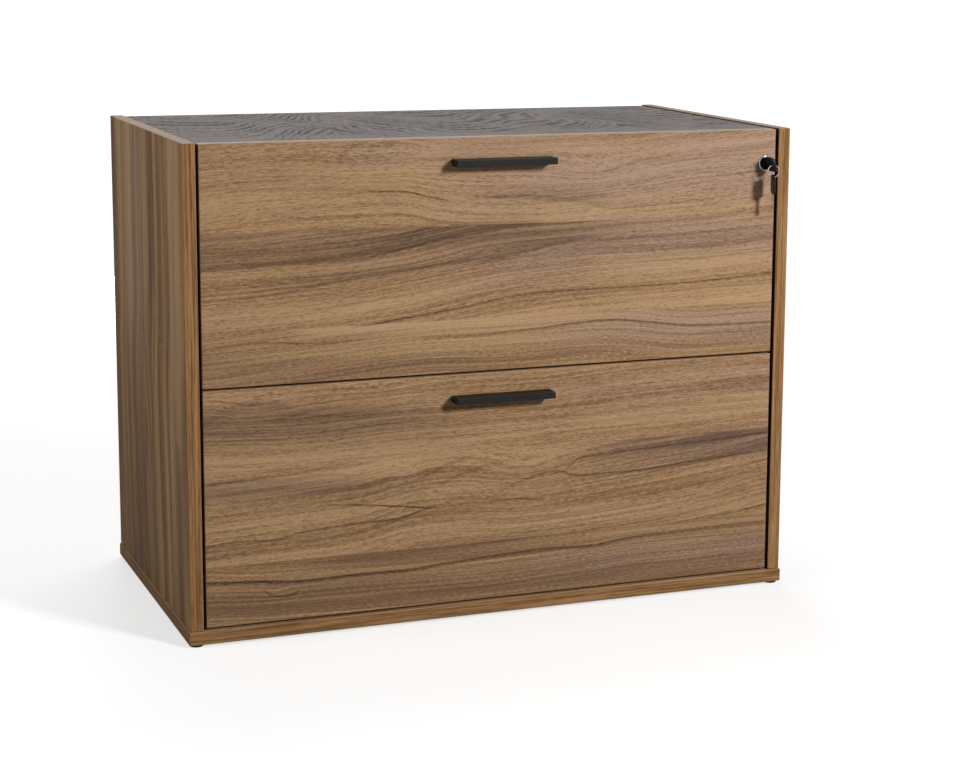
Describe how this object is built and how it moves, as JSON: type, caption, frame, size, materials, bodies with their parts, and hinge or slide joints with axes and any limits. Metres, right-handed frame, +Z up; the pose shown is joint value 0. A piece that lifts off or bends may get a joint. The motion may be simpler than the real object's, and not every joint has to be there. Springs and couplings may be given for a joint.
{
  "type": "lateral file drawer unit",
  "caption": "Low, wide lateral filing unit: walnut-look case and drawer fronts, charcoal top let in between the sides, black pulls, full-extension file drawers and a keyed cam lock.",
  "frame": {"origin": "middle of the bounding box's footprint, on the floor under the feet", "axes": "+X to the viewer's right along the drawer fronts, +Y from the fronts to the back, +Z up"},
  "size_m": [0.918, 0.5306, 0.6993],
  "materials": {
    "walnut_front": "satin walnut-look laminate, grain across",
    "walnut_board": "satin walnut-look laminate, grain up the sides",
    "charcoal_top": "satin charcoal wood-grain laminate",
    "hardboard": "raw hardboard",
    "box_board": "pale grey melamine",
    "black_metal": "fine black powder coat",
    "black_plastic": "satin moulded black",
    "zinc_steel": "bright zinc plate",
    "chrome": "polished chrome plate"
  },
  "bodies": {
    "case": {"left_side_panel": "walnut_board", "right_side_panel": "walnut_board", "base_panel": "walnut_board", "top_panel": "charcoal_top", "back_panel": "hardboard", "front_left_foot": "black_plastic", "front_right_foot": "black_plastic", "rear_left_foot": "black_plastic", "rear_right_foot": "black_plastic", "front_left_base_screw": "zinc_steel", "front_right_base_screw": "zinc_steel", "rear_left_base_screw": "zinc_steel", "rear_right_base_screw": "zinc_steel", "lock_strike": "zinc_steel", "upper_left_slide_outer": "zinc_steel", "upper_right_slide_outer": "zinc_steel", "lower_left_slide_outer": "zinc_steel", "lower_right_slide_outer": "zinc_steel"},
    "upper_slide_middles": {"upper_left_slide_middle": "zinc_steel", "upper_right_slide_middle": "zinc_steel"},
    "lower_slide_middles": {"lower_left_slide_middle": "zinc_steel", "lower_right_slide_middle": "zinc_steel"},
    "upper_drawer": {"upper_drawer_front": "walnut_front", "upper_drawer_left_side": "box_board", "upper_drawer_right_side": "box_board", "upper_drawer_back": "box_board", "upper_drawer_bottom": "box_board", "upper_front_file_rail": "zinc_steel", "upper_rear_file_rail": "zinc_steel", "upper_handle": "black_metal", "upper_handle_left_screw": "zinc_steel", "upper_handle_right_screw": "zinc_steel", "upper_left_slide_inner": "zinc_steel", "upper_right_slide_inner": "zinc_steel", "lock_housing": "chrome", "lock_nut": "zinc_steel"},
    "lower_drawer": {"lower_drawer_front": "walnut_front", "lower_drawer_left_side": "box_board", "lower_drawer_right_side": "box_board", "lower_drawer_back": "box_board", "lower_drawer_bottom": "box_board", "lower_front_file_rail": "zinc_steel", "lower_rear_file_rail": "zinc_steel", "lower_handle": "black_metal", "lower_handle_left_screw": "zinc_steel", "lower_handle_right_screw": "zinc_steel", "lower_left_slide_inner": "zinc_steel", "lower_right_slide_inner": "zinc_steel"},
    "lock_core": {"lock_plug": "chrome", "lock_cam": "zinc_steel", "lock_cam_screw": "zinc_steel", "lock_key": "black_plastic"},
    "ring": {"key_ring": "chrome"},
    "spare": {"spare_key": "black_plastic"}
  },
  "joints": [
    {"name": "upper_drawer_slide", "type": "slide", "parent": "case", "child": "upper_drawer", "axis": [0, -1, 0], "range_m": [0, 0.4]},
    {"name": "lower_drawer_slide", "type": "slide", "parent": "case", "child": "lower_drawer", "axis": [0, -1, 0], "range_m": [0, 0.4]},
    {"name": "upper_middle_slide", "type": "slide", "parent": "case", "child": "upper_slide_middles", "axis": [0, -1, 0], "range_m": [0, 0.2]},
    {"name": "lower_middle_slide", "type": "slide", "parent": "case", "child": "lower_slide_middles", "axis": [0, -1, 0], "range_m": [0, 0.2]},
    {"name": "key_turn", "type": "hinge", "parent": "upper_drawer", "child": "lock_core", "pos_m": [0.4175, -0.22771, 0.6478], "axis": [0, 1, 0], "range_deg": [0, 90]},
    {"name": "ring_swing", "type": "hinge", "parent": "lock_core", "child": "ring", "pos_m": [0.4175, -0.25421, 0.6478], "axis": [0, 1, 0], "range_deg": [-40, 0]},
    {"name": "spare_key_swing", "type": "hinge", "parent": "ring", "child": "spare", "pos_m": [0.4175, -0.25421, 0.63827], "axis": [0, 1, 0], "range_deg": [-50, 0]}
  ],
  "couplings": [
    {"joint": "upper_middle_slide", "follows": "upper_drawer_slide", "ratio": 0.5},
    {"joint": "lower_middle_slide", "follows": "lower_drawer_slide", "ratio": 0.5},
    {"joint": "ring_swing", "follows": "key_turn", "ratio": -0.4444},
    {"joint": "spare_key_swing", "follows": "key_turn", "ratio": -0.5555}
  ]
}
